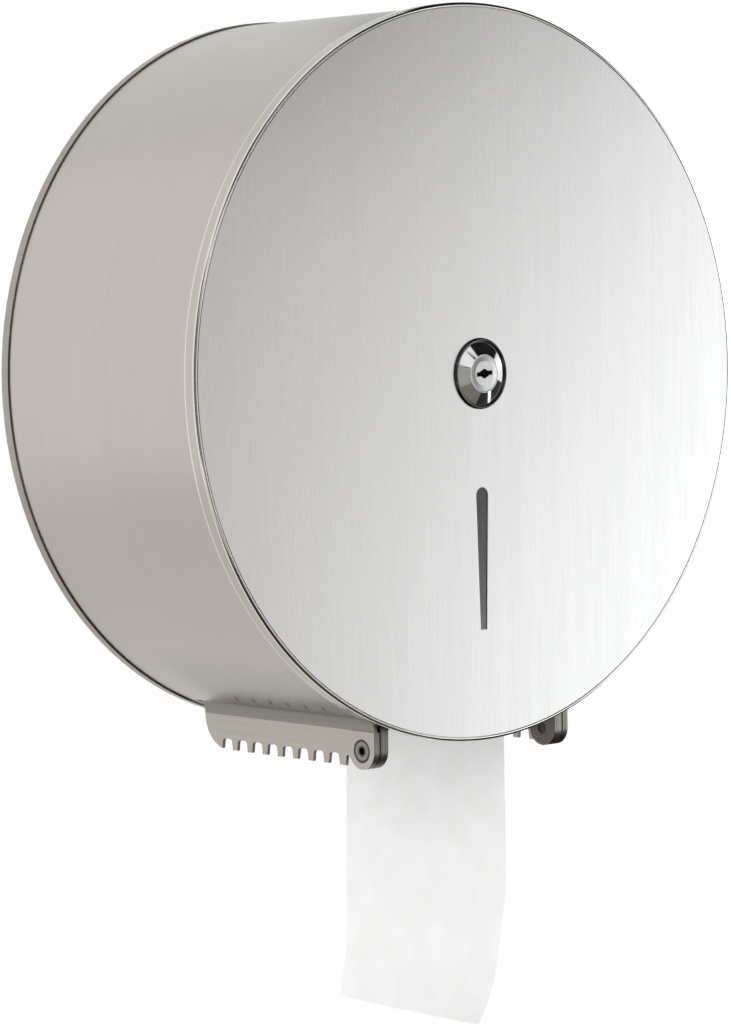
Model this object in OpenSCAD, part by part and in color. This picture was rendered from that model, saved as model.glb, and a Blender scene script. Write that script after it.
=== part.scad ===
// Jumbo toilet roll dispenser: a round steel case for one large roll. The front
// cover hangs on two hinges under the drum, and a cylinder lock holds it shut.
// +X is right, -Y is forward and +Z is up. The origin is on the wall, on the roll's axis.

/* [Case] */
// Diameter of the cover's rim
cover_d = 310; // [290:1:340]
// Depth from the wall to the face of the cover
case_depth = 128; // [122:1:150]
// Thickness of the drum and cover sheet
sheet_t = 0.8; // [0.6:0.1:1]
// Depth of the cover's rim
rim_depth = 7; // [6:0.5:7]
// Radial gap between the cover's rim and the drum
rim_gap = 0.4; // [0.4:0.1:0.8]
// Width of the rim's rounded front bead
bead_w = 1.4; // [1.2:0.1:1.8]
// Width of the groove between the bead and the disc
seam_w = 0.3; // [0.2:0.1:0.5]
// Width of the rim's inner flange, which carries the disc
flange_w = 9; // [7:0.5:11]
// Diameter of the hem at the back edge of the rim
hem_d = 1; // [0.9:0.1:1.2]
// Width of the lip turned in at the front of the drum
lip_w = 6; // [4:0.5:8]

/* [View slot] */
// Width of the slot at its round top
slot_w = 6.6; // [4:0.1:9]
// Width of the slot at its square bottom
slot_end_w = 3.3; // [2:0.1:4]
// Length of the slot
slot_len = 60; // [40:1:80]
// Height of the slot's top below the lock
slot_drop = 48; // [40:0.5:60]

/* [Back pan] */
// Thickness of the back pan
pan_t = 1; // [0.8:0.1:1.5]
// Depth of the pan's rim around the drum
pan_rim = 4.4; // [3:0.1:7]
// Radius of the raised centre that carries the spindle
dish_r = 60; // [50:1:80]
// Height of the raised centre
dish_h = 3; // [2.5:0.1:4]
// Distance between the wall screws, both ways
wall_pitch = 160; // [150:1:180]
// Diameter of the wall screw holes
wall_hole_d = 6.5; // [5:0.5:8]

/* [Tear blades and outlet] */
// Clear width between the two blades
outlet_w = 109.6; // [100:0.2:130]
// Thickness of the blades
blade_t = 1.5; // [1.2:0.1:2]
// Depth of the tooth tips below the hinge axis
blade_drop = 6.8; // [6.5:0.1:10]
// Distance from the wall to the back end of the blades
blade_end = 10; // [6:0.5:14]
// Radius of the blade's rounded back corner
blade_corner_r = 14.8; // [6:0.1:15]
// Distance between teeth
tooth_pitch = 10; // [9.8:0.1:12]
// Distance from the cover's face to the first full notch
first_notch = 33.2; // [32:0.2:40]
// Width of a notch at its mouth
notch_w = 7.4; // [6:0.1:7.6]
// Width of a notch near its top
notch_top_w = 6.2; // [5:0.1:6.6]
// Radius of a notch's top corners
notch_r = 1.6; // [1:0.1:2.4]
// Depth of a notch
notch_h = 4.8; // [4:0.1:6]
// Radius of the tooth tips
tip_r = 1.1; // [0.6:0.1:1.2]
// Outer radius of the bend between a blade and its flange
bend_r = 7.5; // [6:0.5:9]
// Distance from the blade's inner face to the far edge of its flange
weld_w = 22; // [18:0.5:26]

/* [Hinges] */
// Distance from the cover's face to the hinge axis
hinge_back = 15.4; // [15.4:0.1:17]
// Distance from the rim's lowest point to the hinge axis
hinge_drop = 0.5; // [0.3:0.1:2]
// Radius of the ears and knuckles
ear_r = 7.75; // [7:0.05:7.75]
// Thickness of an ear
ear_t = 3; // [2.8:0.1:4]
// Height of an ear's face above the blade's face
ear_step = 0.4; // [0.2:0.1:0.8]
// Thickness of a cover knuckle
knuckle_t = 4.6; // [4:0.1:6]
// Diameter of the hinge screws
screw_d = 5; // [4:0.5:5]
// Diameter of the countersink for the screw head
csk_d = 10; // [9:0.1:10.4]
// Thickness of the nylon hinge washers
washer_t = 0.4; // [0.3:0.1:0.8]
// Length of an arm's foot on the cover
foot_len = 18; // [12:1:24]

/* [Lock] */
// Diameter of the lock's bezel
bezel_d = 30; // [28:0.5:34]
// Height of the bezel in front of the cover
bezel_h = 2.6; // [2.4:0.1:4.5]
// Diameter of the lock's barrel
barrel_d = 22; // [20:0.5:24]
// Diameter of the plug
plug_d = 15; // [14:0.5:16]
// Distance from the cover's face to the back of the barrel
barrel_back = 12.5; // [12:0.1:12.8]
// Thickness of the lock washer
lock_washer_t = 1; // [0.8:0.1:1.5]
// Thickness of the lock nut
nut_t = 4; // [3:0.5:6]
// Distance across the flats of the lock nut
nut_af = 27; // [26:0.5:30]
// Length of the key slot
key_w = 9; // [7:0.5:10]
// Height of the key slot
key_h = 2.4; // [2:0.1:2.6]
// Diameter of the round middle of the key slot
key_eye_d = 4; // [3:0.1:4.4]
// Number of wafers in the plug
wafers = 4; // [3:1:4]
// Thickness of a wafer
wafer_t = 0.8; // [0.6:0.1:1]
// Length of the cam from its axis to each end
cam_r = 16; // [13:0.5:17]
// Width of the cam
cam_w = 8; // [7.8:0.1:9]
// Thickness of the cam
cam_t = 2; // [1.5:0.1:2.5]
// Distance across the flats of the square that drives the cam
tang_af = 5; // [4.5:0.1:5.2]

/* [Spindle] */
// Diameter of the spindle tube
spindle_d = 44; // [42:0.5:50]
// Wall of the spindle tube
spindle_wall = 1.5; // [1.2:0.1:2]
// Diameter of the spindle's flange
spindle_flange_d = 70; // [66:1:90]
// Thickness of the spindle's flange
spindle_flange_t = 2; // [1.5:0.1:3]
// Distance from the cover's face to the front of the spindle
spindle_front = 14; // [13.8:0.1:14.4]
// Thickness of the keeper plate
keeper_t = 1.5; // [1:0.1:1.8]
// Gap between the cam and the keeper slot, all round
keeper_gap = 1; // [0.8:0.1:1.4]
// Diameter of the rivets that hold the spindle
rivet_d = 4; // [3:0.1:5]
// Diameter of the rivet heads
rivet_head_d = 7.2; // [6:0.1:8]
// Width of the spacer ring that the roll runs against
spacer_w = 3.4; // [2:0.1:4]
// Thickness of the spacer ring
spacer_t = 2; // [1.5:0.1:3]

/* [Paper] */
// Width of the paper
paper_w = 102.6; // [95:0.2:103]
// Radial gap between the spindle and the core
core_gap = 0.5; // [0.3:0.1:2]
// Thickness of the cardboard core
core_t = 1.4; // [0.8:0.1:2]
// Thickness of the paper left on the core
paper_wound = 2.8; // [1:0.1:10]
// Distance from the roll's axis down to where the hanging paper starts to curl
tail_straight = 227; // [180:1:400]
// Radius of the curl at the paper's end
curl_r = 112; // [100:1:200]
// Angle of the curl, in degrees
curl_angle = 29; // [5:1:40]
// Thickness of the hanging paper
tail_t = 0.4; // [0.3:0.1:0.6]

/* [Hidden] */

$fn = 96;
round_fn = 240;     // facets of the large rounds
cut = 1;            // how far a cut runs past a face
press = 0.02;       // radial gap of a fit that doesn't move
slip = 0.05;        // radial gap of a fit that turns
lie_gap = 0.3;      // gap between loose paper and what it lies on

cover_r = cover_d / 2;
rim_in_r = cover_r - sheet_t;
shell_r = rim_in_r - rim_gap;
shell_in_r = shell_r - sheet_t;
disc_r = cover_r - bead_w - seam_w;
face_y = -case_depth;
disc_back_y = face_y + sheet_t;
flange_back_y = disc_back_y + sheet_t;
lip_front_y = flange_back_y + 1;        // clear of the cover by 1 mm
pan_rim_r = shell_r + sheet_t;

// Hinge axis, along X
pivot_y = face_y + hinge_back;
pivot_z = -cover_r - hinge_drop;
blade_in_x = outlet_w / 2;
blade_out_x = blade_in_x + blade_t;
ear_out_x = blade_out_x + ear_step;
ear_in_x = ear_out_x - ear_t;
wash_x = ear_in_x - slip - washer_t;    // inner face of a washer
knuckle_out_x = wash_x - slip;
knuckle_in_x = knuckle_out_x - knuckle_t;
tip_z = pivot_z - blade_drop;
outlet_back_y = -blade_end + 1.5;
bore_r = screw_d / 2 + slip;            // bore of an ear
csk_depth = csk_d / 2 - bore_r;         // 90 degree countersink

// Height of the circle of radius r at the distance x from its centre line
function drop_at(r, x) = sqrt(r * r - x * x);

// A blade's bend, which runs into the flange on the drum's inside
flange_r = shell_in_r - press;
bend_x = blade_out_x + bend_r;
bend_z = -drop_at(flange_r + bend_r, bend_x);
outlet_side_x = bend_x * flange_r / (flange_r + bend_r) + 0.3;  // edge of the drum's outlet

// Spindle stack, from the wall forward
dish_front_y = -dish_h - pan_t;
flange_front_y = dish_front_y - spindle_flange_t;
spacer_front_y = flange_front_y - spacer_t;
spindle_r = spindle_d / 2;
spindle_in_r = spindle_r - spindle_wall;
rivet_ring_r = spindle_flange_d / 2 - rivet_head_d / 2 - 1;
keeper_front_y = face_y + spindle_front;
keeper_back_y = keeper_front_y + keeper_t;
slot_half_l = cam_r + keeper_gap;
slot_half_h = cam_w / 2 + keeper_gap;

// Lock
barrel_r = barrel_d / 2;
plug_r = plug_d / 2;
barrel_back_y = face_y + barrel_back;
cam_front_y = keeper_back_y + 0.4;      // runs clear of the keeper
cam_back_y = cam_front_y + cam_t;
tail_r = cam_w / 2 - 0.1;               // round tail of the plug
cam_hole_d = 3;                         // thread of the cam screw

// Paper
core_in_r = spindle_r + core_gap;
core_r = core_in_r + core_t;
roll_r = core_r + paper_wound;
paper_back_y = spacer_front_y - lie_gap;
paper_front_y = paper_back_y - paper_w;

// ---- helpers -------------------------------------------------------------

// Turns a profile of [radius, distance from the wall] about the roll's axis
module turned() rotate([90, 0, 0]) rotate_extrude($fn = round_fn) children();

// Cylinder along Y, from y0 back to y1
module rod(r, y0, y1) translate([0, y1, 0]) rotate([90, 0, 0]) cylinder(r = r, h = y1 - y0);

// Ring along Y, from y0 back to y1
module ring(r_in, r_out, y0, y1) difference() {
    rod(r_out, y0, y1);
    rod(r_in, y0 - cut, y1 + cut);
}

// Plate from x0 to x1, drawn as [distance from the cover's face, height]
module side_plate(x0, x1) translate([x0, face_y, 0]) rotate([90, 0, 90])
    linear_extrude(x1 - x0) children();

// Cylinder along X on the hinge axis, from x0 to x1
module pivot_rod(x0, x1, r0, r1) translate([x0, pivot_y, pivot_z]) rotate([0, 90, 0])
    cylinder(r1 = r0, r2 = r1, h = x1 - x0);

module left() mirror([1, 0, 0]) children();

// ---- case ----------------------------------------------------------------

module back_pan() color("#b9b3ac") difference() {
    turned() {
        slope = dish_h * 2;
        polygon([
            [0, dish_h], [dish_r, dish_h], [dish_r + slope, 0], [pan_rim_r, 0],
            [pan_rim_r, pan_rim], [shell_r, pan_rim], [shell_r, pan_t],
            [dish_r + slope, pan_t], [dish_r, dish_h + pan_t], [0, dish_h + pan_t]]);
    }
    for (x = [-1, 1], z = [-1, 1]) translate([x * wall_pitch / 2, 0, z * wall_pitch / 2])
        rod(wall_hole_d / 2, -pan_t - cut, cut);
    rivet_holes();
}

module outlet_cut() {
    front = lip_front_y - cut;
    translate([-outlet_side_x, front, -cover_r - cut])
        cube([2 * outlet_side_x, outlet_back_y - front, cover_r]);
}

module drum_shell() color("#c4bbb4") difference() {
    turned() {
        translate([shell_in_r, pan_t]) square([sheet_t, -lip_front_y - pan_t]);
        translate([shell_r - lip_w, -lip_front_y - sheet_t]) square([lip_w, sheet_t]);
    }
    outlet_cut();
}

// ---- tear blades ---------------------------------------------------------

// Notch at c, open downward
module notch(c, mouth, top, depth) {
    r = min(notch_r, top / 2 - 0.1);
    round_z = tip_z + depth - r;
    polygon([
        [c - mouth / 2, tip_z - cut], [c + mouth / 2, tip_z - cut],
        [c + top / 2, round_z], [c - top / 2, round_z]]);
    translate([c - top / 2 + r, round_z - cut]) square([top - 2 * r, r + cut]);
    for (s = [-1, 1]) translate([c + s * (top / 2 - r), round_z]) circle(r);
    for (s = [-1, 1]) translate([c + s * mouth / 2, tip_z]) difference() {
        translate([s * tip_r / 2, tip_r / 2 - cut / 2]) square([tip_r, tip_r + cut], center = true);
        translate([s * tip_r, tip_r]) circle(tip_r);
    }
}

module ear_profile() {
    translate([hinge_back, pivot_z]) circle(ear_r);
    translate([hinge_back - ear_r, pivot_z]) square([2 * ear_r, bend_z - pivot_z]);
}

module blade_profile() {
    end = case_depth - blade_end;
    corner_r = min(blade_corner_r, bend_z - tip_z - 0.1);
    // The last notch may cut into the start of the round corner
    room = end - corner_r / 2 - notch_w / 2 - first_notch;
    difference() {
        translate([hinge_back, tip_z]) square([end - hinge_back, bend_z - tip_z]);
        translate([end - corner_r, tip_z]) difference() {
            translate([0, -cut]) square([corner_r + cut, corner_r + cut]);
            translate([0, corner_r]) circle(corner_r);
        }
        for (i = [0 : floor(room / tooth_pitch)])
            notch(first_notch + i * tooth_pitch, notch_w, notch_top_w, notch_h);
        // Narrow gap beside the ear, and the clear space under it
        notch(hinge_back + ear_r + 1.2, 3.4, 2.4, notch_h - 0.4);
        translate([hinge_back - cut, tip_z - cut])
            square([ear_r + cut, pivot_z - tip_z + cut]);
    }
}

module ring_profile(r_in, r_out) difference() {
    circle(r_out, $fn = round_fn);
    circle(r_in, $fn = round_fn);
}

// From the front, as [x, z]: the bend at the top of a blade, and the flange that lies against
// the inside of the drum
module bend_profile() {
    lap = 0.02;         // how far the bend and the flange overlap
    reach = 3 * bend_r;
    inward = 1 - reach / (flange_r + bend_r);
    past = 1.1;
    far_x = blade_in_x + weld_w;
    far_z = -drop_at(flange_r, far_x);
    intersection() {
        translate([bend_x, bend_z]) ring_profile(bend_r, bend_r + blade_t);
        polygon([
            [bend_x, bend_z - lap], [bend_x - reach, bend_z - lap],
            [bend_x * inward, bend_z * inward], [bend_x, bend_z]]);
    }
    intersection() {
        ring_profile(flange_r - blade_t, flange_r);
        polygon([
            [0, 0], [bend_x * past - lap, bend_z * past], [far_x * past, far_z * past]]);
    }
}

module blade() difference() {
    union() {
        side_plate(blade_in_x, blade_out_x) blade_profile();
        side_plate(ear_in_x, ear_out_x) ear_profile();
        translate([0, -blade_end, 0]) rotate([90, 0, 0])
            linear_extrude(case_depth - blade_end - hinge_back + ear_r) bend_profile();
    }
    pivot_rod(ear_in_x - cut, ear_out_x + cut, bore_r, bore_r);
    pivot_rod(ear_out_x - csk_depth, ear_out_x, bore_r, csk_d / 2);
}

module blade_right() color("#b4aaa0") blade();
module blade_left() color("#b4aaa0") left() blade();

// ---- spindle -------------------------------------------------------------

module at_rivets() for (a = [45 : 90 : 315])
    translate([rivet_ring_r * cos(a), 0, rivet_ring_r * sin(a)]) children();

module rivet_holes() at_rivets() rod(rivet_d / 2 + press, flange_front_y - cut, cut);

module spindle_flange() color("#b9b3ac") difference() {
    rod(spindle_flange_d / 2, flange_front_y, dish_front_y);
    rivet_holes();
}

module spindle_tube() color("#a8a6a2")
    ring(spindle_in_r, spindle_r, keeper_front_y, flange_front_y);

module rivet() {
    head_t = 1.3;
    rod(rivet_d / 2, flange_front_y, -dish_h);
    translate([0, flange_front_y, 0]) rotate([90, 0, 0])
        cylinder(d1 = rivet_head_d, d2 = rivet_head_d * 0.6, h = head_t);
    rod(rivet_head_d * 0.45, -dish_h, -dish_h + head_t);
}

module spindle_rivets() color("#8f8d8a") at_rivets() rivet();

module keeper_plate() color("#9b9a97") difference() {
    rod(spindle_in_r - press, keeper_front_y, keeper_back_y);
    translate([-slot_half_l, keeper_front_y - cut, -slot_half_h])
        cube([2 * slot_half_l, keeper_t + 2 * cut, 2 * slot_half_h]);
}

module roll_spacer() color("#e8e6e0")
    ring(spindle_r + press, spindle_r + press + spacer_w, spacer_front_y, flange_front_y);

// ---- cover ---------------------------------------------------------------

module view_slot() {
    r = slot_w / 2;
    translate([0, -slot_drop - r]) circle(r);
    polygon([
        [-r, -slot_drop - r], [r, -slot_drop - r],
        [slot_end_w / 2, -slot_drop - slot_len], [-slot_end_w / 2, -slot_drop - slot_len]]);
}

module cover_disc() color("#d3d1ce") difference() {
    rod(disc_r, face_y, disc_back_y, $fn = round_fn);
    rod(barrel_r + press, face_y - cut, disc_back_y + cut);
    translate([0, disc_back_y + cut, 0]) rotate([90, 0, 0])
        linear_extrude(sheet_t + 2 * cut) view_slot();
}

module cover_rim() color("#c9c6c2") turned() {
    bead_r = bead_w / 2;
    hem_r = hem_d / 2;
    translate([cover_r - bead_r, case_depth - bead_r]) circle(bead_r);
    translate([rim_in_r, case_depth - rim_depth + hem_r])
        square([sheet_t, rim_depth - hem_r - bead_r]);
    translate([rim_in_r + hem_r, case_depth - rim_depth + hem_r]) circle(hem_r);
    translate([cover_r - flange_w, -flange_back_y]) square([flange_w - bead_r, sheet_t]);
}

// ---- hinges --------------------------------------------------------------

// The arm goes from the cover's back, inside the rim and round its edge, to the knuckle
module arm_profile() {
    rim_clear = 0.4;
    inner_z = -drop_at(rim_in_r, knuckle_out_x) + 1;
    flange_z = -drop_at(cover_r - flange_w, knuckle_out_x) + 1;
    foot_t = 2.5;
    front = rim_depth + 0.5;
    translate([hinge_back, pivot_z]) circle(ear_r);
    polygon([
        [sheet_t, flange_z + foot_len], [sheet_t, flange_z],
        [2 * sheet_t + rim_clear, flange_z], [2 * sheet_t + rim_clear, inner_z],
        [front, inner_z], [hinge_back - ear_r, pivot_z], [hinge_back + ear_r, pivot_z],
        [hinge_back + ear_r, inner_z], [sheet_t + foot_t, flange_z + foot_t],
        [sheet_t + foot_t, flange_z + foot_len]]);
}

module hinge_arm() difference() {
    side_plate(knuckle_in_x, knuckle_out_x) arm_profile();
    pivot_rod(knuckle_in_x - cut, knuckle_out_x + cut, screw_d / 2 + press, screw_d / 2 + press);
}

// The screw is fast in the knuckle, and its shank and head turn in the ear
module hinge_screw() {
    sink = 0.1;
    top_x = ear_out_x - sink;
    top_r = csk_d / 2 - sink - slip;
    neck_x = top_x - top_r + screw_d / 2;
    socket_d = 3.5;
    difference() {
        union() {
            pivot_rod(neck_x, top_x, screw_d / 2, top_r);
            pivot_rod(knuckle_in_x + 0.6, neck_x, screw_d / 2, screw_d / 2);
        }
        translate([top_x - 2, pivot_y, pivot_z]) rotate([0, 90, 0])
            cylinder(d = socket_d, h = 2 + cut, $fn = 6);
    }
}

module hinge_washer() difference() {
    pivot_rod(wash_x, wash_x + washer_t, ear_r - 1.2, ear_r - 1.2);
    pivot_rod(wash_x - cut, wash_x + washer_t + cut, bore_r, bore_r);
}

module hinge_arm_right() color("#7d766f") hinge_arm();
module hinge_arm_left() color("#7d766f") left() hinge_arm();
module hinge_screw_right() color("#6e6964") hinge_screw();
module hinge_screw_left() color("#6e6964") left() hinge_screw();
module hinge_washer_right() color("#e4e0d8") hinge_washer();
module hinge_washer_left() color("#e4e0d8") left() hinge_washer();

// ---- lock ----------------------------------------------------------------

module lock_housing() color("#c0c2c4") turned() {
    bezel_r = bezel_d / 2;
    bore = plug_r + slip;
    nose_w = 1.2;
    step_h = 0.9;
    polygon([
        [bore, -barrel_back_y], [barrel_r, -barrel_back_y], [barrel_r, case_depth],
        [bezel_r, case_depth], [bezel_r, case_depth + step_h],
        [bezel_r - 1, case_depth + step_h + 0.4],
        [bore + nose_w, case_depth + bezel_h], [bore, case_depth + bezel_h]]);
}

module lock_washer() color("#a8a8a6")
    ring(barrel_r + press, nut_af / 2 + 1.5, disc_back_y, disc_back_y + lock_washer_t);

module lock_nut() color("#a8a8a6") {
    front = disc_back_y + lock_washer_t;
    difference() {
        rotate([0, 30, 0]) rod(nut_af / 2 / cos(30), front, front + nut_t, $fn = 6);
        rod(barrel_r + press, front - cut, front + nut_t + cut);
    }
}

wafer_slot_h = 5.4;
wafer_step = 2.4;
wafer_first_y = face_y + 1.5;

module at_wafers() for (i = [0 : wafers - 1])
    translate([0, wafer_first_y + i * wafer_step, 0]) children();

// A stepped bar with a round eye in its middle
module key_slot(w, h, y0, y1) {
    step = 2;
    translate([-w / 2, y0, -h / 2]) cube([w - step, y1 - y0, h * 0.75]);
    translate([-w / 2 + step, y0, -h / 4]) cube([w - step, y1 - y0, h * 0.75]);
    rod(key_eye_d / 2, y0, y1);
}

module lock_plug() color("#b4b6b8") difference() {
    front = face_y - bezel_h;
    union() {
        rod(plug_r, front, barrel_back_y);
        rod(tail_r, barrel_back_y, cam_front_y);
        translate([-tang_af / 2, cam_front_y, -tang_af / 2]) cube([tang_af, cam_t, tang_af]);
    }
    key_slot(key_w, key_h, front - cut, wafer_first_y + wafers * wafer_step);
    at_wafers() translate([-plug_r, -press, -wafer_slot_h / 2])
        cube([plug_d, wafer_t + 2 * press, wafer_slot_h]);
    rod(cam_hole_d / 2, cam_back_y - 5, cam_back_y + cut);
}

// Flat plates that the key lines up, each with a window for the key
module lock_wafers() color("#c9a860") at_wafers() difference() {
    len = 2 * drop_at(plug_r, wafer_slot_h / 2) - 0.6;
    h = wafer_slot_h - 2 * press;
    translate([-len / 2, 0, -h / 2]) cube([len, wafer_t, h]);
    window_h = max(key_h, key_eye_d) + 0.2;
    translate([-key_w / 2 - 0.1, -cut, -window_h / 2])
        cube([key_w + 0.2, wafer_t + 2 * cut, window_h]);
}

// A bar that passes the keeper's slot lying flat and locks behind it when upright
module lock_cam() color("#9a9c9e") difference() {
    intersection() {
        rod(cam_r, cam_front_y, cam_back_y);
        translate([-cam_r, cam_front_y, -cam_w / 2]) cube([2 * cam_r, cam_t, cam_w]);
    }
    hole = tang_af + 2 * press;
    translate([-hole / 2, cam_front_y - cut, -hole / 2]) cube([hole, cam_t + 2 * cut, hole]);
}

module cam_screw() color("#8f9193") {
    head_d = tang_af + 2.5;
    rod(cam_hole_d / 2 - press, cam_back_y - 4, cam_back_y);
    difference() {
        rod(head_d / 2, cam_back_y, cam_back_y + 1.8);
        rod(1.2, cam_back_y + 0.8, cam_back_y + 1.8 + cut, $fn = 6);
    }
}

// ---- paper ---------------------------------------------------------------

module paper_core() color("#b09a7c") ring(core_in_r, core_r, paper_front_y, paper_back_y);

module paper_roll() color("#efefee") ring(core_r, roll_r, paper_front_y, paper_back_y);

// The hanging paper from the front, as [x, z]. It leaves the roll on its right, hangs
// straight down and curls back under the roll.
module tail_profile() {
    tail_x = roll_r + lie_gap;
    far = 2 * curl_r;
    translate([tail_x, -tail_straight]) square([tail_t, tail_straight]);
    translate([tail_x - curl_r, -tail_straight]) intersection() {
        difference() {
            circle(curl_r + tail_t, $fn = round_fn);
            circle(curl_r, $fn = round_fn);
        }
        polygon([[0, 0.01], [far, 0.01], [far * cos(curl_angle), -far * sin(curl_angle)]]);
    }
}

module paper_tail() color("#f1f1f0")
    translate([0, paper_back_y, 0]) rotate([90, 0, 0]) linear_extrude(paper_w) tail_profile();

back_pan();
drum_shell();
blade_left();
blade_right();
spindle_flange();
spindle_tube();
spindle_rivets();
keeper_plate();
roll_spacer();
cover_disc();
cover_rim();
hinge_arm_left();
hinge_arm_right();
hinge_screw_left();
hinge_screw_right();
hinge_washer_left();
hinge_washer_right();
lock_housing();
lock_washer();
lock_nut();
lock_plug();
lock_wafers();
lock_cam();
cam_screw();
paper_core();
paper_roll();
paper_tail();
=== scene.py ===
"""Looks of a jumbo toilet roll dispenser: finely modelled pieces, metals, paper and light."""

import math

import bpy
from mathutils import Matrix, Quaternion, Vector, noise


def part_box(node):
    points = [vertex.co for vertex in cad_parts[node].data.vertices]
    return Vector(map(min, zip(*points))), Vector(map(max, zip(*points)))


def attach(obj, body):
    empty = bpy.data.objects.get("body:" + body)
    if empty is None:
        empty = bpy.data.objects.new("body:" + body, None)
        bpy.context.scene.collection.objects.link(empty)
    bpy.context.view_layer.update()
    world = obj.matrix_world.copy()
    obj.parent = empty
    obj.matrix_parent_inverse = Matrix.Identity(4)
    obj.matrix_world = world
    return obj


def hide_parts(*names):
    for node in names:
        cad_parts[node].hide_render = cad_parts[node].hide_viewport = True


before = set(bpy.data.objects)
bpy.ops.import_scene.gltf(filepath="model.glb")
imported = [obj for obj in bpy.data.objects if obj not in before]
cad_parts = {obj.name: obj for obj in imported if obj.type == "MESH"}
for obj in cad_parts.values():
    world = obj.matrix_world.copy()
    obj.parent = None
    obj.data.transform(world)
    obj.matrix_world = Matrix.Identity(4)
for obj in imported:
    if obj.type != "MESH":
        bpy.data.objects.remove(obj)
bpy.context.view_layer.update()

MM = 0.001
TURN_STEPS = 288                            # steps round the large turned pieces
SHARP_ANGLE = math.radians(32)              # edges sharper than this are rounded

# ---- sizes, from the frame -----------------------------------------------

disc_low, disc_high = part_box("cover_disc")
rim_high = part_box("cover_rim")[1]
shell_low, shell_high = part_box("drum_shell")
bezel_low, bezel_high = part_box("lock_housing")
plug_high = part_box("lock_plug")[1]
blade_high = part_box("blade_right")[1]
screw_low, screw_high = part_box("hinge_screw_right")
tail_low, tail_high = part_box("paper_tail")
roll_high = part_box("paper_roll")[1]

FACE_Y = disc_low[1]                        # front of the cover
DISC_R = disc_high[0]
SHEET_T = disc_high[1] - disc_low[1]
COVER_R = rim_high[0] - 0.2 * MM            # the skirt, inside the hem of the rim's solid
RIM_BACK_Y = rim_high[1]
SHELL_R = shell_high[0]
LOCK_BARREL_R = 11 * MM                     # the lock's body, which passes through the cover
LOCK_HOLE_R = LOCK_BARREL_R + 0.05 * MM
BLADE_BEND_Z = -148 * MM                    # just below the bend at the top of a blade
PIVOT_Y = (screw_low[1] + screw_high[1]) / 2
PIVOT_Z = (screw_low[2] + screw_high[2]) / 2


# ---- modelling helpers ---------------------------------------------------

def activate(obj):
    """Makes obj the only selected object and the active one."""
    for other in bpy.context.selected_objects:
        other.select_set(False)
    obj.select_set(True)
    bpy.context.view_layer.objects.active = obj


def edit(obj, *steps):
    """Runs edit mode operators on all of obj's mesh."""
    activate(obj)
    bpy.ops.object.mode_set(mode="EDIT")
    for step in steps:
        bpy.ops.mesh.select_all(action="SELECT")
        step()
    bpy.ops.object.mode_set(mode="OBJECT")


def merge():
    """Joins the points that lie in one place."""
    bpy.ops.mesh.remove_doubles(threshold=0.002 * MM)


def face_outwards():
    bpy.ops.mesh.normals_make_consistent(inside=False)


def apply_modifier(obj, kind, **settings):
    """Adds a modifier, sets it and applies it."""
    activate(obj)
    modifier = obj.modifiers.new(kind.title(), kind)
    for name, value in settings.items():
        setattr(modifier, name, value)
    bpy.ops.object.modifier_apply(modifier=modifier.name)


def smooth(obj, angle=SHARP_ANGLE):
    activate(obj)
    bpy.ops.object.shade_smooth_by_angle(angle=angle)


def soften(obj, width, segments=2):
    """Rounds the sharp edges, which is what catches the light on a real edge."""
    apply_modifier(obj, "BEVEL", width=width, segments=segments, limit_method="ANGLE",
                   angle_limit=SHARP_ANGLE, use_clamp_overlap=True)
    smooth(obj)
    apply_modifier(obj, "WEIGHTED_NORMAL", mode="FACE_AREA", keep_sharp=True)


def arc(centre, radii, first, last, steps):
    """Points along an arc or part of an ellipse, between two angles in degrees."""
    angles = [math.radians(first + (last - first) * k / steps) for k in range(steps + 1)]
    return [(centre[0] + radii[0] * math.cos(a), centre[1] + radii[1] * math.sin(a))
            for a in angles]


def rounded(outline):
    """Outline of (radius, y, corner radius) points with its corners turned into arcs."""
    arc_steps = 5
    points = []
    for i, (r, y, corner) in enumerate(outline):
        here = Vector((r, y))
        before = Vector(outline[i - 1][:2]) - here
        after = Vector(outline[(i + 1) % len(outline)][:2]) - here
        if corner <= 0:
            points.append(here)
            continue
        half = before.angle(after) / 2
        reach = corner / math.tan(half)
        inwards = (before.normalized() + after.normalized()).normalized()
        centre = here + inwards * corner / math.sin(half)
        start = here + before.normalized() * reach - centre
        end = here + after.normalized() * reach - centre
        sweep = start.angle_signed(end)
        for k in range(arc_steps + 1):
            turn = -sweep * k / arc_steps
            points.append(centre + Vector((
                start.x * math.cos(turn) - start.y * math.sin(turn),
                start.x * math.sin(turn) + start.y * math.cos(turn))))
    return points


def turned(name, outline, steps=TURN_STEPS):
    """A closed outline of (radius, y) points spun round the roll's axis."""
    bpy.ops.mesh.primitive_circle_add(vertices=len(outline), radius=1, location=(0, 0, 0))
    piece = bpy.context.object
    piece.name = name
    for vertex, (r, y) in zip(piece.data.vertices, outline):
        vertex.co = (r, y, 0)
    edit(piece,
         lambda: bpy.ops.mesh.spin(steps=steps, angle=2 * math.pi, center=(0, 0, 0), axis=(0, 1, 0)),
         merge, face_outwards)
    return piece


def dressed_copy(node, name, edge):
    """A merged copy of a CAD node with its flat faces whole and its edges softened."""
    piece = bpy.data.objects.new(name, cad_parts[node].data.copy())
    bpy.context.collection.objects.link(piece)
    piece.data.materials.clear()
    edit(piece, merge, lambda: bpy.ops.mesh.dissolve_limited(angle_limit=math.radians(0.4)))
    soften(piece, edge)
    return piece


def cut_out(piece, cutter):
    """Cuts the closed mesh cutter out of piece."""
    apply_modifier(piece, "BOOLEAN", operation="DIFFERENCE", solver="EXACT", object=cutter)
    bpy.data.objects.remove(cutter)


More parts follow.
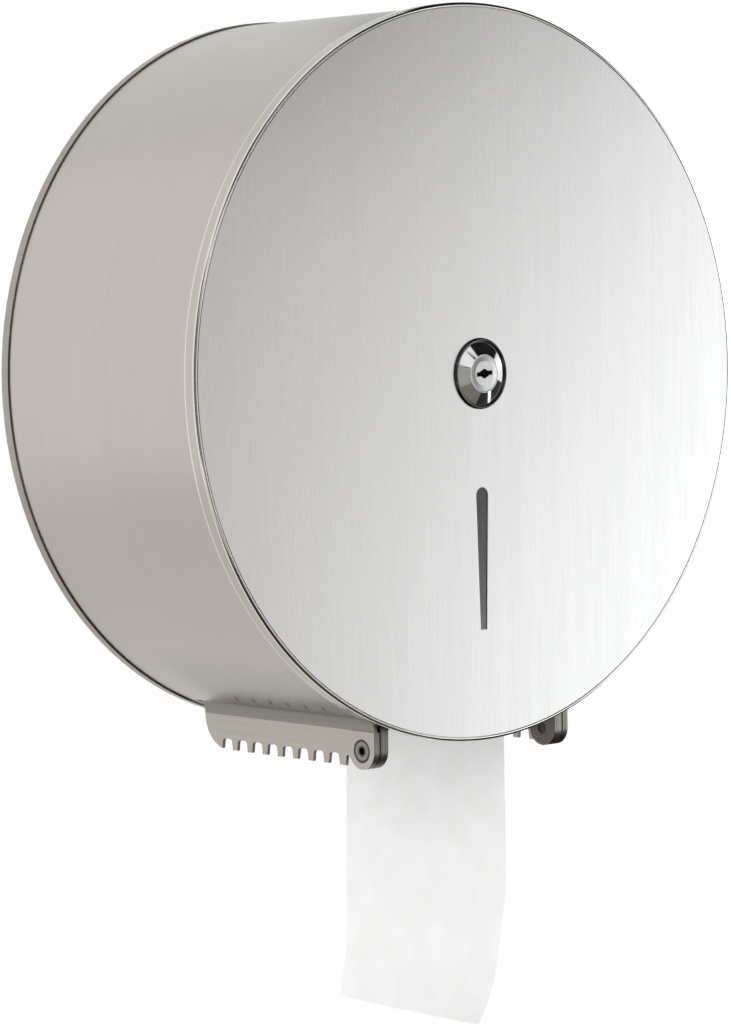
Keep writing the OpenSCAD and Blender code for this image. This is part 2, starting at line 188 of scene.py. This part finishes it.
def cube_cutter(low, high):
    """A box between two of its corners, to cut with."""
    centre = [(a + b) / 2 for a, b in zip(low, high)]
    bpy.ops.mesh.primitive_cube_add(size=1, location=centre)
    cutter = bpy.context.object
    cutter.scale = [b - a for a, b in zip(low, high)]
    bpy.ops.object.transform_apply(location=True, rotation=True, scale=True)
    return cutter


def fit(piece, body, slot, material, *nodes):
    """Gives a piece its material and body, and hides the CAD nodes it stands for. The slot is not
    used.
    """
    piece.data.materials.clear()
    piece.data.materials.append(material)
    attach(piece, body)
    if nodes:
        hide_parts(*nodes)


# ---- material helpers ----------------------------------------------------

def colour(text):
    """sRGB hex to linear RGBA."""
    values = [int(text[i:i + 2], 16) / 255 for i in (1, 3, 5)]
    return [v / 12.92 if v <= 0.04045 else ((v + 0.055) / 1.055) ** 2.4 for v in values] + [1]


def give(node, inputs):
    """Sets a node's inputs, by name or in order, to values, links or other nodes. Another node
    gives its first output."""
    named = inputs if isinstance(inputs, dict) else dict(enumerate(inputs))
    for name, value in named.items():
        if isinstance(value, bpy.types.Node):
            value = value.outputs[0]
        if isinstance(value, bpy.types.NodeSocket):
            node.id_data.links.new(value, node.inputs[name])
        else:
            node.inputs[name].default_value = value


def add(tree, kind, inputs=(), **settings):
    """Adds a shader node with its settings and inputs."""
    node = tree.nodes.new("ShaderNode" + kind)
    for name, value in settings.items():
        setattr(node, name, value)
    give(node, inputs)
    return node


def new_material(name):
    """An empty material, its tree and its Principled shader."""
    material = bpy.data.materials.new(name)
    material.use_nodes = True
    return material, material.node_tree, material.node_tree.nodes["Principled BSDF"]


def flat_distance(tree, first, second):
    """Length of the offset whose two parts are first and second."""
    offset = add(tree, "CombineXYZ", (first, second))
    return add(tree, "VectorMath", [offset], operation="LENGTH").outputs["Value"]


def paint(shader, amount, first, second):
    """Colours a shader first where amount is 0, and second where it is 1."""
    mixed = add(shader.id_data, "Mix", {0: amount, 6: first, 7: second}, data_type="RGBA")
    give(shader, {"Base Color": mixed.outputs[2]})


# Used here only to paint shade and reflections.
def shade_towards(material, amount, tint):
    """Turns a painted material towards tint by amount."""
    shader = material.node_tree.nodes["Principled BSDF"]
    clean = shader.inputs["Base Color"].links[0].from_socket
    paint(shader, amount, clean, colour(tint))


def streaks(tree, width, length, across, detail=3.0):
    """Noise drawn out into lines. width and length are in metres, and across names the axis
    that the lines follow each other along."""
    scale = [1 / length] * 3
    scale["XYZ".index(across)] = 1 / width
    place = add(tree, "TexCoord").outputs["Object"]
    drawn = add(tree, "Mapping", {"Vector": place, "Scale": scale})
    return add(tree, "TexNoise", {"Vector": drawn, "Scale": 1.0, "Detail": detail,
                                  "Roughness": 0.6}).outputs["Fac"]


def brushed_metal(name, light, dark, roughness, across, grain=0.45 * MM, grain_length=45 * MM,
                  depth=0.006 * MM, tangent_map=None):
    """Metal abraded along one direction: fine lines and wider faint bands, and a stretched
    shine on a piece with a tangent_map."""
    material, tree, shader = new_material(name)
    band, band_length = 9 * MM, 8 * grain_length
    fine = streaks(tree, grain, grain_length, across)
    broad = streaks(tree, band, band_length, across, detail=1.5)
    tone = add(tree, "Math", (fine, 0.75), operation="MULTIPLY")
    tone = add(tree, "Math", (broad, 0.25, tone), operation="MULTIPLY_ADD")
    amount = add(tree, "MapRange", (tone, 0.3, 0.7, 0.0, 1.0))
    gloss = add(tree, "MapRange", (tone, 0.3, 0.7, roughness + 0.02, roughness - 0.02))
    bump = add(tree, "Bump", {"Strength": 1.0, "Distance": depth, "Height": fine})
    paint(shader, amount, colour(dark), colour(light))
    give(shader, {"Metallic": 1.0, "Roughness": gloss, "Normal": bump})
    if tangent_map:
        along = add(tree, "Tangent", direction_type="UV_MAP", uv_map=tangent_map)
        give(shader, {"Anisotropic": 0.5, "Tangent": along})
    return material


def polished_metal(name, tint, roughness):
    """Plated metal, with a trace of handling marks."""
    material, tree, shader = new_material(name)
    place = add(tree, "TexCoord").outputs["Object"]
    cloud = add(tree, "TexNoise", {"Vector": place, "Scale": 260.0, "Detail": 4.0})
    amount = add(tree, "MapRange", (cloud, 0.35, 0.65, 0.0, 1.0))
    gloss = add(tree, "MapRange", (cloud, 0.35, 0.65, roughness, roughness + 0.04))
    handled = [0.94 * c for c in colour(tint)[:3]] + [1]
    paint(shader, amount, colour(tint), handled)
    give(shader, {"Metallic": 1.0, "Roughness": gloss})
    return material


def dished_face(material, flat_r, edge_r, drop):
    """A turned slope from the flat middle of the plug's face to its edge, and fine pits."""
    tree = material.node_tree
    place = add(tree, "TexCoord").outputs["Object"]
    parts = add(tree, "SeparateXYZ", [place]).outputs
    from_axis = flat_distance(tree, parts["X"], parts["Z"])
    slope = add(tree, "MapRange", (from_axis, flat_r, edge_r, 0.0, -1.0))
    turned_edge = add(tree, "Bump", {"Strength": 1.0, "Distance": drop, "Height": slope})
    grit = add(tree, "TexNoise", {"Vector": place, "Scale": 1500.0, "Detail": 3.0})
    pits = add(tree, "Bump", {"Strength": 1.0, "Distance": 0.16 * MM, "Height": grit,
                              "Normal": turned_edge})
    give(tree.nodes["Principled BSDF"], {"Normal": pits})


def paint_blade_shade_and_reflections(material, side, first_y, pitch, count, radius):
    """Paints a row of small dark spots on each side of the drum, over the blades' flanges behind the
    sheet, as painted reflection of the blades' notches, and darkens the sheet round them as painted
    shade of the blades."""
    stretch = 0.4               # a spot is drawn out round the drum,
    slant = 0.8                 # and runs forwards as it rises
    inwards = 8 * MM            # the painted shade reaches this far from the row
    outwards = 36 * MM
    tree = material.node_tree
    place = add(tree, "TexCoord").outputs["Object"]
    x, y, z = add(tree, "SeparateXYZ", [place]).outputs

    from_middle = add(tree, "Math", [x], operation="ABSOLUTE")
    from_row = add(tree, "Math", (from_middle, side), operation="SUBTRACT")
    from_first = add(tree, "Math", (first_y, y), operation="SUBTRACT")
    steps = add(tree, "Math", (from_first, pitch), operation="DIVIDE")
    nearest = add(tree, "Math", [steps], operation="ROUND")
    spot = add(tree, "Clamp", (nearest, 0.0, count - 1.0))
    past_spot = add(tree, "Math", (steps, spot), operation="SUBTRACT")
    slanted = add(tree, "Math", (from_row, slant), operation="MULTIPLY")
    along = add(tree, "Math", (past_spot, pitch), operation="MULTIPLY")
    along = add(tree, "Math", (along, slanted), operation="SUBTRACT")
    across = add(tree, "Math", (from_row, stretch), operation="MULTIPLY")
    from_spot = flat_distance(tree, across, along)

    # The painted reflections fade out above the drum's lower part, and the painted shade also
    # towards the back
    notch_reflection = add(tree, "MapRange", (from_spot, 0.3 * radius, radius, 0.7, 0.0))
    painted_shade = add(tree, "MapRange", (from_middle, side - inwards, side + outwards, 0.5, 0.0))
    low_down = add(tree, "MapRange", (z, -100 * MM, -90 * MM, 1.0, 0.0))
    in_front = add(tree, "MapRange", (y, -40 * MM, -22 * MM, 1.0, 0.0))
    notch_reflection = add(tree, "Math", (notch_reflection, low_down), operation="MULTIPLY")
    painted_shade = add(tree, "Math", (painted_shade, in_front), operation="MULTIPLY")
    painted_shade = add(tree, "Math", (painted_shade, low_down), operation="MULTIPLY")
    # Painted shade beside the blades, then the dark spots of painted reflection
    shade_towards(material, painted_shade, "#56554b")
    shade_towards(material, notch_reflection, "#2e2c29")


def painted_shade_rings(material, centre_y, centre_z, rings):
    """Paints shade in rings round the hinge axis, in the gap round a screw's head and in its socket.
    Each ring is its lit radius, its dark radius and its darkness."""
    tree = material.node_tree
    place = add(tree, "TexCoord").outputs["Object"]
    parts = add(tree, "SeparateXYZ", [place]).outputs
    from_y = add(tree, "Math", (parts["Y"], centre_y), operation="SUBTRACT")
    from_z = add(tree, "Math", (parts["Z"], centre_z), operation="SUBTRACT")
    distance = flat_distance(tree, from_y, from_z)
    for lit_r, dark_r, darkness in rings:
        low, high = min(lit_r, dark_r), max(lit_r, dark_r)
        at_low, at_high = (0.0, darkness) if dark_r > lit_r else (darkness, 0.0)
        amount = add(tree, "MapRange", (distance, low, high, at_low, at_high))
        shade_towards(material, amount, "#2e2b28")


# ---- materials -----------------------------------------------------------

# Stainless sheet brushed straight up and down with a fine belt: neutral grey, faint vertical
# lines and a shine that spreads sideways.
cover_steel = brushed_metal("stainless_brushed_vertical", "#bcb8b4", "#b6b2ae", 0.28, "X",
                            tangent_map="sheet")

# Stainless sheet brushed round the drum: a little warmer, very even.
drum_steel = brushed_metal("stainless_satin_drum", "#c6beb8", "#bfb8b2", 0.3, "Y",
                           grain=0.5 * MM, grain_length=70 * MM)
# Painted shade and painted reflections of the blades on the drum's lower sides
paint_blade_shade_and_reflections(drum_steel, side=69 * MM, first_y=-47 * MM, pitch=11.2 * MM, count=6, radius=1.7 * MM)

# The same satin sheet where it is flat or pressed.
pan_steel = brushed_metal("stainless_satin_sheet", "#aaa49e", "#a19b94", 0.3, "Z")

# Rim band, turned in a roller: hardly any grain. Its front bead and back hem take a lighter,
# glossier copy of the steel as painted highlight.
rim_steel = brushed_metal("stainless_rolled_rim", "#c6c0b9", "#bdb6af", 0.24, "Y",
                          grain=0.4 * MM, grain_length=70 * MM, depth=0.002 * MM)
bead_highlight_steel = brushed_metal("stainless_bead_painted_highlight", "#e6e2dc", "#d6d1cb", 0.12, "Y",
                           grain=0.4 * MM, grain_length=70 * MM, depth=0.001 * MM)

# Laser cut blade stock with a fine satin face.
blade_steel = brushed_metal("stainless_satin_blade", "#b8b1aa", "#aea79f", 0.36, "Z")

# The same stock in the bend, darker as painted shade, where the bend turns down away from the light.
bend_shade_steel = brushed_metal("stainless_bend_painted_shade", "#97938b", "#8b877e", 0.4, "Z")

# The same stock where a laser has cut it: darker, and coarse.
cut_steel = brushed_metal("stainless_laser_cut_edge", "#8a847d", "#6f6963", 0.42, "X",
                          grain=0.5 * MM, grain_length=6 * MM, depth=0.02 * MM)

# Hinge blocks, ground up and down with a coarse wheel, and darkened besides as painted shade for the
# shadow they sit in.
hinge_steel = brushed_metal("stainless_coarse_ground_painted_shade", "#8a847c", "#4e4a45", 0.4, "X",
                            grain=1.1 * MM, grain_length=60 * MM, depth=0.05 * MM)

# Turned screws, with painted shade in the gap round the head and in the socket.
screw_steel = brushed_metal("steel_turned_screw", "#9a948d", "#857f78", 0.33, "Y",
                            grain=0.3 * MM, grain_length=10 * MM)
painted_shade_rings(screw_steel, PIVOT_Y, PIVOT_Z,
            [(3.5 * MM, 4.4 * MM, 0.9), (2.9 * MM, 1.9 * MM, 0.8)])

# Drawn tube and bright plated steel inside.
tube_steel = brushed_metal("steel_drawn_tube", "#b6b4b0", "#aaa8a4", 0.28, "X", grain=0.6 * MM)
zinc_steel = brushed_metal("steel_bright_zinc", "#b4b6b8", "#a5a8ab", 0.34, "Z", grain=2 * MM,
                           grain_length=3 * MM)

# Polished chrome on a zinc casting, with a dark copy of it on the ring at the cover as painted shade
# and reflection, the satin nickel face of the plug, and stamped brass inside it.
lock_chrome = polished_metal("chrome_polished", "#e4e5e6", 0.06)
ring_shade_chrome = polished_metal("chrome_ring_painted_shade", "#4c4a48", 0.1)
plug_nickel = polished_metal("nickel_satin_plug", "#aeaba7", 0.3)
dished_face(plug_nickel, flat_r=5.3 * MM, edge_r=7.2 * MM, drop=0.45 * MM)
wafer_brass = polished_metal("brass_stamped", "#cda85c", 0.3)


def nylon_natural():
    """Natural nylon: milky white, soft shine."""
    material, tree, shader = new_material("nylon_natural")
    place = add(tree, "TexCoord").outputs["Object"]
    cloud = add(tree, "TexNoise", {"Vector": place, "Scale": 90.0, "Detail": 3.0})
    paint(shader, cloud, colour("#e6e2d8"), colour("#dcd8cd"))
    give(shader, {"Roughness": 0.45})
    return material


def grey_card():
    """Spiral wound grey card: brown-grey fibres, matt and slightly rough."""
    material, tree, shader = new_material("card_spiral_wound")
    fibres = streaks(tree, 0.8 * MM, 6 * MM, "Y", detail=6.0)
    amount = add(tree, "MapRange", (fibres, 0.3, 0.7, 0.0, 1.0))
    bump = add(tree, "Bump", {"Strength": 0.6, "Distance": 0.05 * MM, "Height": fibres})
    paint(shader, amount, colour("#9c8a70"), colour("#b7a68c"))
    give(shader, {"Roughness": 0.9, "Normal": bump})
    return material


def tissue_paper(name, rings):
    """Soft two-ply tissue: white, matt, with fine crepe lines across the web. The wound edge
    of a roll shows its layers as rings."""
    material, tree, shader = new_material(name)
    place = add(tree, "TexCoord").outputs["Object"]
    cloud = add(tree, "TexNoise", {"Vector": place, "Scale": 70.0, "Detail": 4.0})
    amount = add(tree, "MapRange", (cloud, 0.35, 0.65, 0.0, 1.0))
    if rings:
        height = add(tree, "TexWave", {"Vector": place, "Scale": 380.0, "Distortion": 2.5,
                                       "Detail": 2.0},
                     wave_type="RINGS", rings_direction="Y").outputs["Fac"]
        depth = 0.15 * MM
    else:
        height = streaks(tree, 0.7 * MM, 5 * MM, "Z", detail=4.0)
        depth = 0.05 * MM
    bump = add(tree, "Bump", {"Strength": 0.7, "Distance": depth, "Height": height})
    paint(shader, amount, colour("#f3f3f2"), colour("#f7f7f7"))
    give(shader, {"Roughness": 1.0, "Specular IOR Level": 0.15, "Normal": bump})
    return material


nylon = nylon_natural()
core_card = grey_card()
tissue = tissue_paper("tissue_two_ply", rings=False)
wound_tissue = tissue_paper("tissue_wound", rings=True)


# ---- cover ---------------------------------------------------------------

def cover_panel():
    """The cover's disc, with its view slot and lock hole, and edges softened by the press."""
    bpy.ops.mesh.primitive_cylinder_add(vertices=TURN_STEPS, radius=DISC_R, depth=SHEET_T,
                                        rotation=(math.pi / 2, 0, 0),
                                        location=(0, FACE_Y + SHEET_T / 2, 0))
    piece = bpy.context.object
    piece.name = "cover_panel"
    bpy.ops.object.transform_apply(location=True, rotation=True, scale=True)

    cut = 6 * MM                        # depth of both cutters, which pass through the sheet
    slot_top, slot_length = -48 * MM, 60 * MM
    slot_r, slot_end_w = 3.3 * MM, 3.3 * MM
    slot_bottom = slot_top - slot_length
    outline = arc((0, slot_top - slot_r), (slot_r, slot_r), 0, 180, 20)
    outline += [(-slot_end_w / 2, slot_bottom), (slot_end_w / 2, slot_bottom)]
    bpy.ops.mesh.primitive_circle_add(vertices=len(outline), radius=1, fill_type="NGON",
                                      location=(0, 0, 0))
    slot = bpy.context.object
    for vertex, (x, z) in zip(slot.data.vertices, outline):
        vertex.co = (x, FACE_Y - cut / 3, z)
    edit(slot,
         lambda: bpy.ops.mesh.extrude_region_move(TRANSFORM_OT_translate={"value": (0, cut, 0)}),
         face_outwards)
    cut_out(piece, slot)

    bpy.ops.mesh.primitive_cylinder_add(vertices=96, radius=LOCK_HOLE_R, depth=cut,
                                        rotation=(math.pi / 2, 0, 0), location=(0, FACE_Y, 0))
    hole = bpy.context.object
    bpy.ops.object.transform_apply(location=True, rotation=True, scale=True)
    cut_out(piece, hole)
    soften(piece, 0.22 * MM, segments=3)
    edit(piece, lambda: bpy.ops.mesh.quads_convert_to_tris())

    # The sheet's own map: U across the grain and V along it, 250 mm to a unit
    sheet = piece.data.uv_layers.new(name="sheet")
    for loop in piece.data.loops:
        place = piece.data.vertices[loop.vertex_index].co
        sheet.data[loop.index].uv = (place.x * 4, place.z * 4)
    fit(piece, "cover", "cover_steel", cover_steel, "cover_disc")


def cover_band():
    """The rim: a fine seam at the disc, a rolled edge round to the skirt, and the skirt's back edge
    turned in to the drum. The rolled edge and the hem at the back carry a painted highlight: a
    lighter copy of the rim's steel."""
    flange, seam, lip_r = 9 * MM, 0.25 * MM, 0.2 * MM
    edge_r, hem = 0.9 * MM, 1.4 * MM
    root = DISC_R + seam
    roll_r = COVER_R - root - lip_r
    inner = COVER_R - SHEET_T
    touch = SHELL_R + 0.08 * MM
    front, back = FACE_Y, RIM_BACK_Y
    bead_back = front + roll_r

    outline = [(COVER_R - flange, front + SHEET_T), (root, front + SHEET_T)]
    outline += arc((root + lip_r, front + lip_r), (lip_r, lip_r), 180, 270, 4)
    outline += arc((COVER_R - roll_r, front + roll_r), (roll_r, roll_r), -90, 0, 16)[1:]
    outline.append((COVER_R, back - hem))
    outline += arc((COVER_R - edge_r, back - edge_r), (edge_r, edge_r), 0, 90, 8)
    outline += [(touch, back), (touch, back - 0.5 * MM), (inner, back - 0.9 * MM),
                (inner, front + 2 * SHEET_T), (COVER_R - flange, front + 2 * SHEET_T)]
    piece = turned("cover_band", outline)
    smooth(piece, math.radians(36))

    fit(piece, "cover", "cover_steel", rim_steel, "cover_rim")
    piece.data.materials.append(bead_highlight_steel)
    # The rolled front edge and the back hem take the lighter copy of the steel: a painted highlight.
    for face in piece.data.polygons:
        outside = math.hypot(face.center.x, face.center.z) > DISC_R
        painted_highlight = face.center.y < bead_back or face.center.y > back - hem
        face.material_index = int(outside and painted_highlight)


# ---- drum ----------------------------------------------------------------

def drum_wall():
    """The drum's wall, open at the bottom for the paper, with its lip turned in at the front."""
    front, back = shell_low[1], shell_high[1]
    lip, edge = 6 * MM, 0.3 * MM
    inner = SHELL_R - SHEET_T
    outline = rounded([
        (SHELL_R, back, 0), (SHELL_R, front, edge), (SHELL_R - lip, front, edge),
        (SHELL_R - lip, front + SHEET_T, edge), (inner, front + SHEET_T, edge), (inner, back, 0)])
    piece = turned("drum_wall", outline)
    side = 61.1 * MM                    # where the blades' bends begin
    cut_out(piece, cube_cutter((-side, front - 2 * MM, -COVER_R - 5 * MM),
                               (side, blade_high[1] + 0.3 * MM, -100 * MM)))
    smooth(piece)
    fit(piece, "case", "drum_steel", drum_steel, "drum_shell")


def back_plate():
    """The pan: its rim wraps the drum, and its raised centre carries the spindle."""
    piece = dressed_copy("back_pan", "back_plate", 0.25 * MM)
    fit(piece, "case", "pan_steel", pan_steel, "back_pan")


# ---- blades, hinges, lock ------------------------------------------------

def small_steel():
    """Blades, knuckles and screws, each with its cut edges broken."""
    parts = [
        ("blade_left", "tear_blade_left", "case", "blade_steel", blade_steel, 0.12),
        ("blade_right", "tear_blade_right", "case", "blade_steel", blade_steel, 0.12),
        ("hinge_arm_left", "knuckle_left", "cover", "hinge_steel", hinge_steel, 0.35),
        ("hinge_arm_right", "knuckle_right", "cover", "hinge_steel", hinge_steel, 0.35),
        ("hinge_screw_left", "socket_screw_left", "cover", "screw_steel", screw_steel, 0.12),
        ("hinge_screw_right", "socket_screw_right", "cover", "screw_steel", screw_steel, 0.12),
        ("lock_plug", "plug_face", "lock_cylinder", "plug_nickel", plug_nickel, 0.4),
        ("lock_nut", "barrel_nut", "cover", "zinc_steel", zinc_steel, 0.2),
        ("lock_cam", "cam_bar", "lock_cylinder", "zinc_steel", zinc_steel, 0.2),
        ("keeper_plate", "keeper", "case", "zinc_steel", zinc_steel, 0.15),
        ("spindle_flange", "spindle_foot", "case", "pan_steel", pan_steel, 0.25),
        ("spindle_tube", "spindle_barrel", "case", "spindle_steel", tube_steel, 0.3)]
    for node, name, body, slot, material, edge in parts:
        piece = dressed_copy(node, name, edge * MM)
        fit(piece, body, slot, material, node)
        if slot == "blade_steel":
            blade_faces(piece)


def blade_faces(piece):
    """A blade's flat sides keep its satin. Its bend is painted darker as shade, its cut edges are
    coarse, and the front edge at the hinge is ground."""
    for material in (cut_steel, hinge_steel, bend_shade_steel):
        piece.data.materials.append(material)
    satin, cut, ground, painted_shade = range(4)
    # The bend takes the darker copy of the steel, as painted shade.
    for face in piece.data.polygons:
        sideways = abs(face.normal.x)
        if face.center.y < PIVOT_Y - 2 * MM and sideways < 0.5:
            face.material_index = ground
        elif face.center.z > BLADE_BEND_Z and sideways < 0.999:
            face.material_index = painted_shade
        else:
            face.material_index = satin if sideways > 0.5 else cut


def lock_bezel():
    """The chrome housing: a low round bead on the cover, a fine groove, and a steep cone up to
    a narrow nose round the plug."""
    bore = plug_high[0] + 0.2 * MM
    bezel_r = bezel_high[0]
    front, back = bezel_low[1], bezel_high[1]
    bead_w, bead_h = 0.78 * MM, 0.85 * MM
    bead_x, bead_y = bezel_r - bead_w, FACE_Y - 0.15 * MM
    groove_x = bead_x - bead_w
    cone_foot = (groove_x - 0.3 * MM, FACE_Y - 0.45 * MM)

    outline = [(bore, back), (LOCK_BARREL_R - 0.3 * MM, back), (LOCK_BARREL_R, back - 0.3 * MM),
               (LOCK_BARREL_R, FACE_Y), (bezel_r - 0.12 * MM, FACE_Y)]
    outline += arc((bead_x, bead_y), (bead_w, bead_h), 0, -180, 16)
    outline += [(groove_x - 0.12 * MM, FACE_Y - 0.05 * MM), cone_foot]
    outline += rounded([(*cone_foot, 0), (bore + 0.25 * MM, front, 0.15 * MM),
                        (bore, front, 0.12 * MM), (bore, back, 0)])[1:-1]
    piece = turned("lock_bezel", outline, steps=144)
    smooth(piece, math.radians(28))

    fit(piece, "cover", "lock_chrome", lock_chrome, "lock_housing")
    piece.data.materials.append(ring_shade_chrome)
    # The bead ring takes the dark copy of the chrome: painted shade and reflection.
    for face in piece.data.polygons:
        on_bead = math.hypot(face.center.x, face.center.z) > groove_x - 0.2 * MM
        face.material_index = int(on_bead)


def plain_nodes():
    """The hidden pieces keep their solids and take their own finish."""
    finishes = {
        "spindle_rivets": zinc_steel, "roll_spacer": nylon, "hinge_washer_left": nylon,
        "hinge_washer_right": nylon, "lock_washer": zinc_steel, "lock_wafers": wafer_brass,
        "cam_screw": zinc_steel, "paper_core": core_card, "paper_roll": wound_tissue}
    for node, material in finishes.items():
        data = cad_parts[node].data
        data.materials.clear()
        data.materials.append(material)


# ---- paper ---------------------------------------------------------------

def ease(value, low, high):
    """0 below low, 1 above high, and a smooth step between."""
    t = max(0.0, min(1.0, (value - low) / (high - low)))
    return t * t * (3 - 2 * t)


def lean(s, across):
    """How far the paper turns from plumb towards the left, at s metres below the roll's axis.
    The front edge starts to curl first and ends up turned most."""
    front = math.radians(10) * ease(s, 0.212, 0.234) + math.radians(36) * ease(s, 0.246, 0.300)
    back = math.radians(1.3) * ease(s, 0.15, 0.2) + math.radians(12) * ease(s, 0.250, 0.276)
    return front + (back - front) * across


def hanging_paper():
    """The tail: it leaves the roll at its right, hangs straight and curls back at its end,
    more at the front edge than at the back one."""
    width = tail_high[1] - tail_low[1]
    wrap = math.radians(40)             # what still lies on the roll
    roll_x = roll_high[0] + 0.45 * MM
    start, end = -roll_x * wrap, 284 * MM
    sway, fray = 0.4 * MM, 0.3 * MM     # of the free paper, and of its torn end
    columns, rows = 72, 200
    step = (end - start) / rows
    bpy.ops.mesh.primitive_grid_add(x_subdivisions=columns, y_subdivisions=rows, size=1,
                                    location=(0, 0, 0))
    piece = bpy.context.object
    piece.name = "hanging_tissue"
    for vertex in piece.data.vertices:
        across = vertex.co.x + 0.5      # 0 at the front edge, 1 at the back
        row = round((0.5 - vertex.co.y) * rows)
        s = start + step * row
        y = tail_low[1] + width * across
        if s < 0:
            x, z = roll_x * math.cos(s / roll_x), -roll_x * math.sin(s / roll_x)
        else:
            x, z, walked = roll_x, 0.0, 0.0
            while walked < s - 1e-9:
                stride = min(MM, s - walked)
                turn = lean(walked + stride / 2, across)
                x -= stride * math.sin(turn)
                z -= stride * math.cos(turn)
                walked += stride
        x += sway * ease(s, 0.03, 0.16) * noise.noise(Vector((across * 2.6, s * 9, 3.1)))
        if row == rows:
            z += fray * noise.noise(Vector((across * 60, 7.7, 0.0)))
        vertex.co = (x, y, z)
    apply_modifier(piece, "SOLIDIFY", thickness=0.14 * MM, offset=0.0)
    edit(piece, face_outwards)
    smooth(piece, math.radians(60))
    fit(piece, "case", "tissue", tissue, "paper_tail")


# ---- stage, light and camera ---------------------------------------------

# Matt cards for the polished parts to mirror, each with its width and height, place and tint
CARDS = {
    # In front, from behind the camera round to the right
    "card_camera": (1.38, 1.6, (-1.59, -1.16, 0.13), "#5e5b57"),
    "card_left": (0.8, 1.0, (-0.55, -1.55, -0.2), "#6f6c68"),
    "card_front_low": (0.55, 0.81, (0.0, -1.56, -0.17), "#a5a29d"),
    "card_line": (0.7, 0.04, (0.0, -1.5, 0.25), "#101010"),
    "card_front_right": (0.45, 0.6, (0.47, -1.44, -0.22), "#bfb7aa"),
    # From the right up over the top, dark
    "card_brow": (1.1, 0.42, (0.97, -0.87, 0.81), "#1c1c1c"),
    "card_brow_right": (0.5, 0.3, (0.95, -0.46, 0.4), "#1c1c1c"),
    "card_sky": (1.4, 0.8, (0.2, -0.75, 1.05), "#1c1c1c"),
    "card_high_left": (1.1, 0.9, (-0.39, -0.97, 0.95), "#2a2926"),
    # Low down, dark at the left and olive towards the front
    "card_down_left": (0.75, 0.6, (-0.3, -0.42, -0.62), "#2a2926"),
    "card_olive": (0.7, 0.45, (0.08, -0.63, -0.62), "#77746a"),
    "card_olive_front": (0.9, 0.4, (0.25, -1.0, -0.52), "#7f7c70"),
    # High at the front right, and dark ones low down near the wall
    "card_side": (0.6, 0.6, (0.7, -1.4, 0.46), "#505050"),
    "card_low": (0.6, 0.5, (0.5, -0.35, -0.59), "#24231f"),
    "card_low_right": (0.5, 0.45, (1.15, -0.27, -0.38), "#2c2a27"),
    "card_floor": (0.7, 0.6, (-0.06, -0.33, -0.74), "#2a2926"),
    # Bright above the back, and dark over and under the right side
    "card_top": (1.5, 1.2, (0.27, 1.02, 1.06), "#eff2f0"),
    "card_over": (1.5, 0.6, (0.55, -0.15, 0.62), "#1c1c1c"),
    "card_under": (1.4, 0.5, (0.55, -0.05, -0.62), "#24231f"),
}


def matt(name, tint):
    """A colour with no shine."""
    material, _, shader = new_material(name)
    give(shader, {"Base Color": colour(tint), "Roughness": 1.0, "Specular IOR Level": 0.0})
    return material


def plane(name, size, location, turn, material):
    """A flat piece of the stage."""
    bpy.ops.mesh.primitive_plane_add(size=1, location=location, rotation=turn)
    piece = bpy.context.object
    piece.name = name
    piece.scale = (*size, 1)
    piece.data.materials.append(material)
    return piece


def facing(location, target=(0, FACE_Y, 0), roll=0.0):
    """Rotation that turns a card, a lamp or the camera at location towards target."""
    look = Vector(target) - Vector(location)
    return (look.to_track_quat("-Z", "Y") @ Quaternion((0, 0, 1), math.radians(roll))).to_euler()


def cards():
    """Cards turned towards the lock. Only reflections see them."""
    for name, (width, height, location, tint) in CARDS.items():
        piece = plane(name, (width, height), location, facing(location), matt(name, tint))
        piece.visible_camera = False
        piece.visible_diffuse = False
        piece.visible_shadow = False


def area_light(name, size, location, watts, tint="#ffffff", roll=0.0):
    data = bpy.data.lights.new(name, "AREA")
    data.shape = "RECTANGLE"
    data.size, data.size_y = size
    data.energy = watts
    data.color = colour(tint)[:3]
    light = bpy.data.objects.new(name, data)
    bpy.context.collection.objects.link(light)
    light.location = location
    light.rotation_euler = facing(location, roll=roll)
    return light


def studio():
    """White surroundings, a pale floor, a cool soft box at the right that reflections see, two
    more that they don't, and the cards."""
    ambient = 0.92              # surroundings are white to the eye, and light a little less
    world = bpy.data.worlds.new("studio")
    bpy.context.scene.world = world
    world.use_nodes = True
    tree = world.node_tree
    rays = add(tree, "LightPath").outputs
    seen = add(tree, "Math", (rays["Is Camera Ray"], rays["Is Glossy Ray"]), operation="MAXIMUM")
    seen = add(tree, "Math", (seen, rays["Is Transmission Ray"]), operation="MAXIMUM")
    strength = add(tree, "Math", (seen, 1 - ambient, ambient), operation="MULTIPLY_ADD")
    give(tree.nodes["Background"], {"Strength": strength, "Color": (1, 1, 1, 1)})

    plane("floor", (3.6, 3.6), (0, 0, -0.9), (0, 0, 0), matt("floor_pale", "#ececea"))
    area_light("soft_box_right", (1.0, 1.4), (1.33, -0.79, -0.26), 9.3, "#e8f4ff", roll=-22)
    front = area_light("soft_box_front", (1.2, 0.7), (-0.116, -1.45, 0.895), 1.3)
    front.visible_glossy = False
    fill = area_light("soft_box_fill", (1.2, 1.0), (-1.2, -0.5, -0.75), 7.0)
    fill.visible_glossy = False
    cards()


def camera():
    """Camera in front and to the left of the case, a little above its middle."""
    location = (-1.0539, -1.2307, 0.0391)
    target = (-0.0661, -0.128, -0.0547)
    data = bpy.data.cameras.new("camera")
    data.lens = 127.45
    data.sensor_width = 36
    view = bpy.data.objects.new("camera", data)
    bpy.context.collection.objects.link(view)
    view.location = location
    view.rotation_euler = facing(location, target, roll=-0.981)
    bpy.context.scene.camera = view
    bpy.context.scene.view_settings.view_transform = "Standard"


camera()
studio()
cover_panel()
cover_band()
drum_wall()
back_plate()
lock_bezel()
small_steel()
plain_nodes()
hanging_paper()
